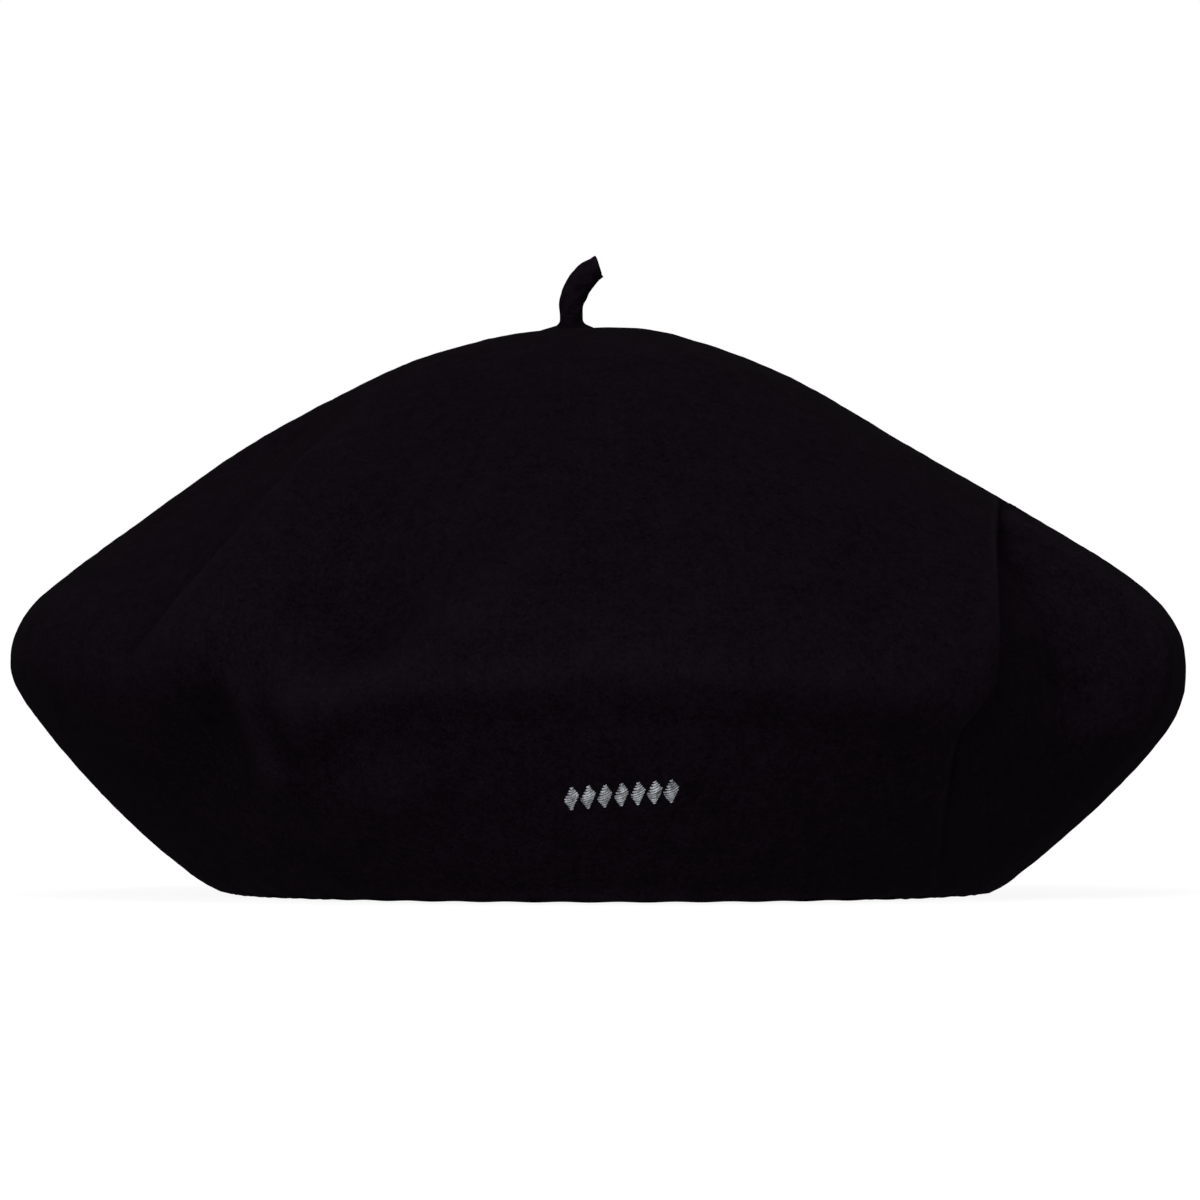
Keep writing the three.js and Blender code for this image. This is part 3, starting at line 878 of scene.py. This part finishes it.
def make_shield():
    turn, share = np.meshgrid(circle_places(120), np.linspace(0.01, 1, 34))
    weld = SHIELD * (1 - 0.35 * bell(share - SHIELD_WELD, 0.012) + 0.3 * bell(share - 1, 0.015))
    middle = shield_points(share, turn, SHIELD / 2)
    return add_sheet("shield_vinyl", "lining_shield", "clear_vinyl", middle, weld, merge=1e-7)


shield = make_shield()


# ---- Sewing thread ----
THICK_THREAD = 0.26 * MM
FINE_THREAD = 0.2 * MM
# A stitch runs between these shares of its own length of seam, and its ends go in this deep.
STITCH_SHARE = (0.12, 0.88)
STITCH_DIP = 0.3 * MM


def add_stitch(parts, start, end, out, radius):
    """A thread that comes up at start, lies proud of the surface and goes down at end."""
    share = np.linspace(0, 1, 8)[:, None]
    lift = np.sin(math.pi * share) ** 0.6 * (STITCH_DIP + radius * 0.7) - STITCH_DIP
    parts.add_tube(start + (end - start) * share + out * lift, radius, sides=7, up=out)


def make_shield_stitches():
    parts = Parts()
    turn = np.linspace(0, 2 * math.pi, 2001)
    rim = shield_points(np.full(turn.shape, SHIELD_WELD), turn, SHIELD)
    length = length_along(rim)
    for i in range(SHIELD_STITCHES):
        share = (i + np.array(STITCH_SHARE)) / SHIELD_STITCHES
        ends = np.interp(share * length[-1], length, turn)
        start, end = shield_points(np.full(2, SHIELD_WELD), ends, SHIELD)
        add_stitch(parts, start, end, (0, 0, -1), FINE_THREAD)
    parts.build("shield_stitches", None, "sewing_thread")


make_shield_stitches()

# ---- Head opening ----
OPENING_CENTRE, OPENING_A, OPENING_B = (float(v) for v in oval_at(np.array(float(LAST_RING))))
BAND_LOW, BAND_HIGH = (corner.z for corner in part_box("sweatband"))


def band_points(angle, height, depth):
    """Points of an upright band that follows the head opening."""
    x = OPENING_CENTRE + (OPENING_A - depth) * np.cos(angle)
    return np.stack(np.broadcast_arrays(x, (OPENING_B - depth) * np.sin(angle), height), -1)


def band_lean(angle, height):
    """How far the band's free top edge waves inwards."""
    wave = 0.3 + 0.2 * np.sin(3 * angle + 1) + 0.12 * np.sin(7 * angle) + 0.05 * np.sin(17 * angle)
    return smooth(12 * MM, BAND_HIGH, height) * wave * MM


CREASE_HEIGHT = BAND_HIGH - 2.6 * MM
BAND_ANGLES = 400


def band_rows():
    """Heights up the sweatband, closer together at its ends and at its crease."""
    rows = list(np.linspace(BAND_LOW, BAND_HIGH, 26))
    for place in (BAND_LOW, BAND_HIGH, CREASE_HEIGHT):
        rows += [place + step * MM for step in (-0.9, -0.6, -0.35, -0.15, 0, 0.15, 0.35, 0.6, 0.9)]
    return np.unique(np.round([r for r in rows if BAND_LOW <= r <= BAND_HIGH], 6))


def make_sweatband():
    angle, height = np.meshgrid(circle_places(BAND_ANGLES), band_rows())
    edge = np.minimum(height - BAND_LOW, BAND_HIGH - height)
    rounding = np.sqrt(np.clip(edge / (0.5 * MM), 0.06, 1))
    joint = bell((angle - math.pi / 2) * OPENING_B, 0.5 * MM)
    crease = 0.2 * bell(height - CREASE_HEIGHT, 0.3 * MM)
    thickness = LEATHER * rounding * (1 - crease - 0.45 * joint)
    places = band_points(angle, height, 0)
    soft = noise_at(places, 18 * MM, 21) * 0.12 * MM
    depth = LEATHER_DEPTH + LEATHER / 2 + 0.1 * MM + band_lean(angle, height) + soft
    middle = band_points(angle, height, depth)
    return add_sheet("sweatband_leather", "sweatband", "leather", middle, thickness)


sweatband = make_sweatband()


def make_stay_tape():
    low, high = (corner.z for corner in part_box("stay_tape"))
    angle, height = np.meshgrid(circle_places(BAND_ANGLES), np.linspace(low, high, 14))
    wave = 0.06 * MM * np.sin(23 * angle + height / MM * 0.4)
    selvedge = TAPE * (1 + 0.2 * bell(height - low, 0.7 * MM) + 0.2 * bell(height - high, 0.7 * MM))
    middle = band_points(angle, height, TAPE_DEPTH + TAPE / 2 + wave)
    return add_sheet("stay_tape_twill", "stay_tape", "twill", middle, selvedge)


stay_tape = make_stay_tape()


FOOT_STITCHES = 146
JOINT_STITCHES = 9
JOINT_STITCH_STEP = 2.9 * MM


def make_band_stitches():
    """The lockstitch round the sweatband's foot, and the two short rows beside its back joint."""
    parts = Parts()
    height = cad_box("sweatband_stitching")[2][2]
    face = LEATHER_FACE + 0.2 * MM
    for i in range(FOOT_STITCHES):
        ends = np.array([i + 0.1, i + 0.88]) * 2 * math.pi / FOOT_STITCHES
        start, end = band_points(ends, height, face)
        out = band_points(ends.mean(), 0.0, 1.0) - band_points(ends.mean(), 0.0, 0.0)
        add_stitch(parts, start, end, unit(out), THICK_THREAD)
    for side in (-1, 1):
        angle = math.pi / 2 + side * 1.9 * MM / OPENING_B
        for i in range(JOINT_STITCHES):
            rise = 6.4 * MM + i * JOINT_STITCH_STEP
            start, end = band_points(np.full(2, angle), np.array([rise, rise + 2.3 * MM]), face)
            add_stitch(parts, start, end, (0, -1, 0), FINE_THREAD)
    parts.build("sweatband_stitches", "sweatband_stitching", "sewing_thread")


make_band_stitches()


# ---- Bow of grosgrain ribbon on the sweatband's back joint ----
BOW_HEIGHT = cad_box("bow_wrap")[2][2]
BOW_DEPTH = LEATHER_FACE + 0.9 * MM
RIBBON = 0.4 * MM


def on_back(flat):
    """Bends points (across, up, off the band) given in millimetres onto the back of the band."""
    across, up, off = (flat[..., k] * MM for k in range(3))
    depth = BOW_DEPTH + off
    angle = np.arccos((across - OPENING_CENTRE) / (OPENING_A - depth))
    return band_points(angle, BOW_HEIGHT + up, depth)


def bow_loop(side):
    """A loop that leaves the waist, opens out, turns back over itself and narrows again."""
    v, t = np.meshgrid(np.linspace(-1, 1, 15), np.linspace(0, 1, 49))
    swell = np.sin(math.pi * t)
    reach = 0.9 + 12.8 * swell**0.8
    width = 1.2 + 3.5 * swell**1.15
    pleats = 0.3 * np.cos(2.5 * math.pi * v) * (1 - swell) + 0.16 * np.cos(math.pi * v) * swell
    off = 0.1 + 1.3 * (1 - np.cos(math.pi * t)) + 0.9 * swell**2 * (t > 0.5) + pleats
    up = 0.13 * reach + v * width - 0.35 * swell * v**2
    return np.stack([side * reach, up, off], -1)


def bow_tail(side):
    """A tail that hangs from the waist, with a notched end."""
    v, t = np.meshgrid(np.linspace(-1, 1, 13), np.linspace(0, 1, 30))
    length = 14.2 * t * (1 - 0.13 * (1 - abs(v)))
    bend = 0.72 + 0.02 * side + 0.1 * t
    width = 1.1 + 2.3 * t**0.8
    across = 0.6 + length * np.cos(bend) + v * width * np.sin(bend)
    up = -0.4 - length * np.sin(bend) + v * width * np.cos(bend)
    off = 0.2 + 0.35 * np.sin(5 * t + side) * t + 0.22 * np.cos(2.2 * math.pi * v) * (1 - t)
    return np.stack([side * across, up, off], -1)


def make_bow():
    parts = Parts()
    for side in (-1, 1):
        for strip in (bow_tail, bow_loop):
            parts.add(*sheet_solid(on_back(strip(side)), RIBBON))
    return parts.build("bow_grosgrain", "bow_ribbon", "grosgrain")


def make_bow_wrap():
    """A narrow pleated strip that goes right round the waist."""
    turn, v = np.meshgrid(circle_places(56), np.linspace(-1, 1, 15))
    c = np.cos(turn)
    s = np.sin(turn)
    up = 2.0 * np.sign(c) * abs(c) ** 0.62 * (1 + 0.08 * v**2)
    off = 1.35 + 1.95 * np.sign(s) * abs(s) ** 0.62 * (1 + 0.06 * v**2)
    off += 0.1 * np.cos(4.2 * math.pi * v) * (s > 0)
    middle = on_back(np.stack([1.75 * v, up, off], -1))
    return add_sheet("bow_wrap_grosgrain", "bow_wrap", "grosgrain", middle, RIBBON)


bow = make_bow()
bow_wrap = make_bow_wrap()


# ---- Labels: each is sewn by a strip along its top, and the rest hangs free ----
LABEL_GAP = 0.45 * MM


def make_label(node, side):
    """side is -1 for the label on the left of the band and 1 for the one on the right."""
    low, high, middle, half_size = cad_box(node)
    plane = middle[0]
    half = half_size[1]
    thickness = 2 * half_size[0]
    hinge = high[2]
    face = OPENING_CENTRE + side * (OPENING_A - LEATHER_FACE)
    y, z = np.meshgrid(np.linspace(-half, half, 41), np.linspace(hinge + 2.4 * MM, low[2], 61))
    sewn = smooth(hinge - 0.8 * MM, hinge + 1.2 * MM, z)
    band_curve = (1 - np.sqrt(1 - (y / OPENING_B) ** 2)) * OPENING_A
    gap = abs(face - plane) * (1 - sewn) + (LABEL_GAP + thickness / 2 + band_curve) * sewn
    down = np.clip((hinge - z) / (hinge - low[2]), 0, 1)
    curl = 0.9 * down**2 * (y / half) ** 2 + 0.5 * down * np.sin(y / half * 2 + 1) * down
    x = face - side * (gap + curl * MM)
    edge = np.minimum(half - abs(y), z - low[2])
    border = 1 + 0.35 * bell(edge - 1.5 * MM, 0.22 * MM) + 0.35 * bell(edge - 2.3 * MM, 0.22 * MM)
    rim = np.sqrt(np.clip((edge + 0.1 * MM) / (0.35 * MM), 0.2, 1))
    points, faces = sheet_solid(np.stack([x, y, z], -1), thickness * border * rim)
    label = new_object(node + "_woven", points, faces, "label_cloth")
    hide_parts(node)
    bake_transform(label)
    make_label_stitches(node, side, face, half, hinge + 1.75 * MM, thickness)
    return label


def make_label_stitches(node, side, face, half, height, thickness):
    parts = Parts()
    count = round(2 * half / (2.5 * MM))
    for i in range(count):
        ends = -half + (np.array(STITCH_SHARE) + i) * 2 * half / count
        gap = LABEL_GAP + thickness + (1 - np.sqrt(1 - (ends / OPENING_B) ** 2)) * OPENING_A
        start, end = (np.array([face - side * g, y, height]) for g, y in zip(gap, ends))
        add_stitch(parts, start, end, (-side, 0, 0), FINE_THREAD)
    parts.build(node + "_stitches", None, "sewing_thread")


care_label = make_label("care_label", -1)
size_tab = make_label("size_tab", 1)

# ---- Embroidery on the front ----
LOZENGES = 7
MOTIF_TILT = math.radians(4)
LOZENGE_THREADS = 10
THREAD_RADIUS = 0.23 * MM
THREAD_SLANT = 0.4


def front_place(x, height):
    """The angle and ring of places on the underside's front, by x and height."""
    def angle_in(ring):
        centre, a, _ = oval_at(ring)
        return -np.arccos(np.clip((x - centre) / a, -1, 1))
    def is_above(ring):
        return base_points(angle_in(ring), ring)[..., 2] > height
    ring = last_where(is_above, RIM_RING, LAST_RING - 1, x.shape)
    return angle_in(ring), ring


def on_felt(x, height, depth):
    """Points over the front of the folded felt, by x and height."""
    angle, ring = front_place(x, height)
    return hat_points(angle, ring, push_of(angle, ring), depth)


def make_lozenge(number):
    """One lozenge of satin stitches: threads side by side over a raised middle."""
    node = f"embroidery_lozenge_{number}"
    middle, half = cad_box(node)[2:]
    parts = Parts()
    share = np.linspace(-1, 1, 13)
    for i in range(LOZENGE_THREADS):
        level = (i + 0.5) / LOZENGE_THREADS * 2 - 1
        reach = half[0] * (1 - abs(level)) * random.uniform(0.93, 1.04) + 0.12 * MM
        x = middle[0] + share * reach
        z = middle[2] + level * half[2] + share * reach * THREAD_SLANT
        z += random.uniform(-0.04, 0.04) * MM
        lift = (1 - share**2) ** 0.45 * (0.2 + 0.3 * reach / half[0])
        line = on_felt(x, z, (0.32 - lift - 0.25 * (1 - share**2)) * MM)
        parts.add_tube(line, THREAD_RADIUS * random.uniform(0.8, 1.12), up=(0, -1, 0))
    parts.build(node + "_threads", node, "embroidery_thread")


for number in range(1, LOZENGES + 1):
    make_lozenge(number)


def make_backing():
    low, high, middle, _ = cad_box("embroidery_backing")
    x, up = np.meshgrid(np.linspace(low[0], high[0], 50), np.linspace(5, -5, 18) * MM)
    z = middle[2] + up + (x - middle[0]) * math.tan(MOTIF_TILT)
    fuzz = noise_at(np.stack([x, up, z], -1), 1.6 * MM, 31) * 0.05 * MM
    cloth = on_felt(x, z, FELT + 0.75 * MM + fuzz)
    slot = "backing_fleece"
    return add_sheet("backing_fleece", "embroidery_backing", slot, cloth, 0.35 * MM, wraps=False)


backing = make_backing()


# ---- The stem's knot under the crown, and the thread that tacks it ----
KNOT_SIDES = 48
KNOT_ROWS = 40
TACK_POINTS = 220


def make_knot():
    low, high, middle, _ = cad_box("stem_root")
    centre = (middle[0], 0, 0)
    foot, top = low[2] / MM, high[2] / MM
    profile = line_through([
        [0.05, foot + 0.1], [2.2, foot], [4.0, foot + 1.5], [3.4, foot + 3.3],
        [3.1, top - 1.6], [2.9, top - 0.2], [0.05, top],
    ], KNOT_ROWS)
    angle, radius = np.meshgrid(circle_places(KNOT_SIDES), profile[:, 0])
    height = np.repeat(profile[:, 1:], KNOT_SIDES, axis=1)
    radius = radius + 0.28 * np.sin(3 * angle + 1.3 * height) * smooth(0.3, 3.0, radius)
    points = np.stack([radius * np.cos(angle), radius * np.sin(angle), height], -1) * MM + centre
    points += (noise_at(points, 1.2 * MM, 41) * 0.08 * MM)[..., None]
    faces = grid_faces(KNOT_ROWS, KNOT_SIDES, closed_columns=True)
    last = (KNOT_ROWS - 1) * KNOT_SIDES
    faces += [tuple(range(KNOT_SIDES)), tuple(last + i for i in range(KNOT_SIDES))]
    add_piece("stem_knot", "stem_root", "felt", points, faces)


def make_tack():
    """Three turns of thread round the knot, crossed by short stitches."""
    middle, half = cad_box("stem_tack")[2:]
    centre = middle * (1, 0, 1)
    outer = half[0] - 0.8 * MM
    parts = Parts()
    turn = np.linspace(0, 6 * math.pi, TACK_POINTS)
    radius = outer + 0.3 * MM * np.sin(turn * 0.63)
    rise = np.linspace(-0.45, 0.45, TACK_POINTS) * MM
    coil = np.stack([radius * np.cos(turn), radius * np.sin(turn), rise], -1) + centre
    parts.add_tube(coil, 0.22 * MM)
    for i in range(10):
        angle = i * math.pi / 5 + 0.2
        out = np.array([math.cos(angle), math.sin(angle), 0])
        swing = np.linspace(0, math.pi, 9)[:, None]
        line = centre + out * (outer + 0.5 * MM * np.cos(swing))
        line -= (0, 0, 0.85 * MM) * np.sin(swing)
        parts.add_tube(line, 0.18 * MM, sides=7, up=(math.sin(angle), -math.cos(angle), 0))
    parts.build("stem_tack_thread", "stem_tack", "sewing_thread")


make_knot()
make_tack()

# ---- Stage, light and camera ----
def stage_piece(name, grey, glow, unseen_by):
    """Turns the newest shape into a piece of the stage, and hides it from some kinds of ray."""
    piece = bpy.context.object
    piece.name = name
    n = Nodes(name)
    n.set(Base_Color=(grey, grey, grey, 1), Roughness=0.9, Specular_IOR_Level=0.1)
    n.set(Emission_Color=(1, 1, 1, 1), Emission_Strength=glow)
    piece.data.materials.append(LOOKS[name])
    for kind in unseen_by:
        setattr(piece, "visible_" + kind, False)
    return piece


def make_stage():
    """A floor and a backdrop that don't light the hat. The bounce light stands in for them, and
    it shines through the floor."""
    rays = ("diffuse", "glossy", "shadow")
    bpy.ops.mesh.primitive_circle_add(vertices=96, radius=12, fill_type="NGON", location=(0, 0, 0))
    floor = stage_piece("floor", 0.15, 0.92, rays)
    bpy.ops.mesh.primitive_uv_sphere_add(segments=48, ring_count=24, radius=11, location=(0, 0, 0))
    backdrop = stage_piece("backdrop", 0.0, 1.0, (*rays, "transmission", "volume_scatter"))


def add_sun(name, azimuth, elevation, strength, angle):
    """A soft far light. Azimuth 0 shines from the front and 90 from the right."""
    light = bpy.data.lights.new(name, "SUN")
    light.energy = strength
    light.angle = math.radians(angle)
    obj = bpy.data.objects.new(name, light)
    a = math.radians(azimuth)
    e = math.radians(elevation)
    source = Vector((math.sin(a) * math.cos(e), -math.cos(a) * math.cos(e), math.sin(e)))
    obj.rotation_mode = "QUATERNION"
    obj.rotation_quaternion = source.to_track_quat("Z", "Y")
    bpy.context.scene.collection.objects.link(obj)


def make_lights():
    add_sun("key", -20, 24, 1.15, 26)
    add_sun("top", -6, 64, 1.1, 36)
    add_sun("right", 88, 14, 0.4, 40)
    add_sun("back", 172, 36, 0.1, 40)
    add_sun("bounce", -10, -40, 1.0, 100)
    world = bpy.data.worlds.new("studio")
    world.use_nodes = True
    sockets = world.node_tree.nodes["Background"].inputs
    sockets["Color"].default_value = (1, 1, 1, 1)
    sockets["Strength"].default_value = 0.14
    bpy.context.scene.world = world
    bpy.context.scene.view_settings.view_transform = "Standard"


def make_camera():
    data = bpy.data.cameras.new("camera")
    data.sensor_width = SENSOR
    data.lens = SENSOR * CAMERA_DISTANCE / VIEW_WIDTH
    camera = bpy.data.objects.new("camera", data)
    camera.location = (CAMERA_RIGHT, -CAMERA_DISTANCE, CAMERA_HEIGHT)
    camera.rotation_euler = (math.pi / 2, 0, 0)
    data.clip_end = 30
    bpy.context.scene.collection.objects.link(camera)
    bpy.context.scene.camera = camera


make_stage()
make_lights()
make_camera()
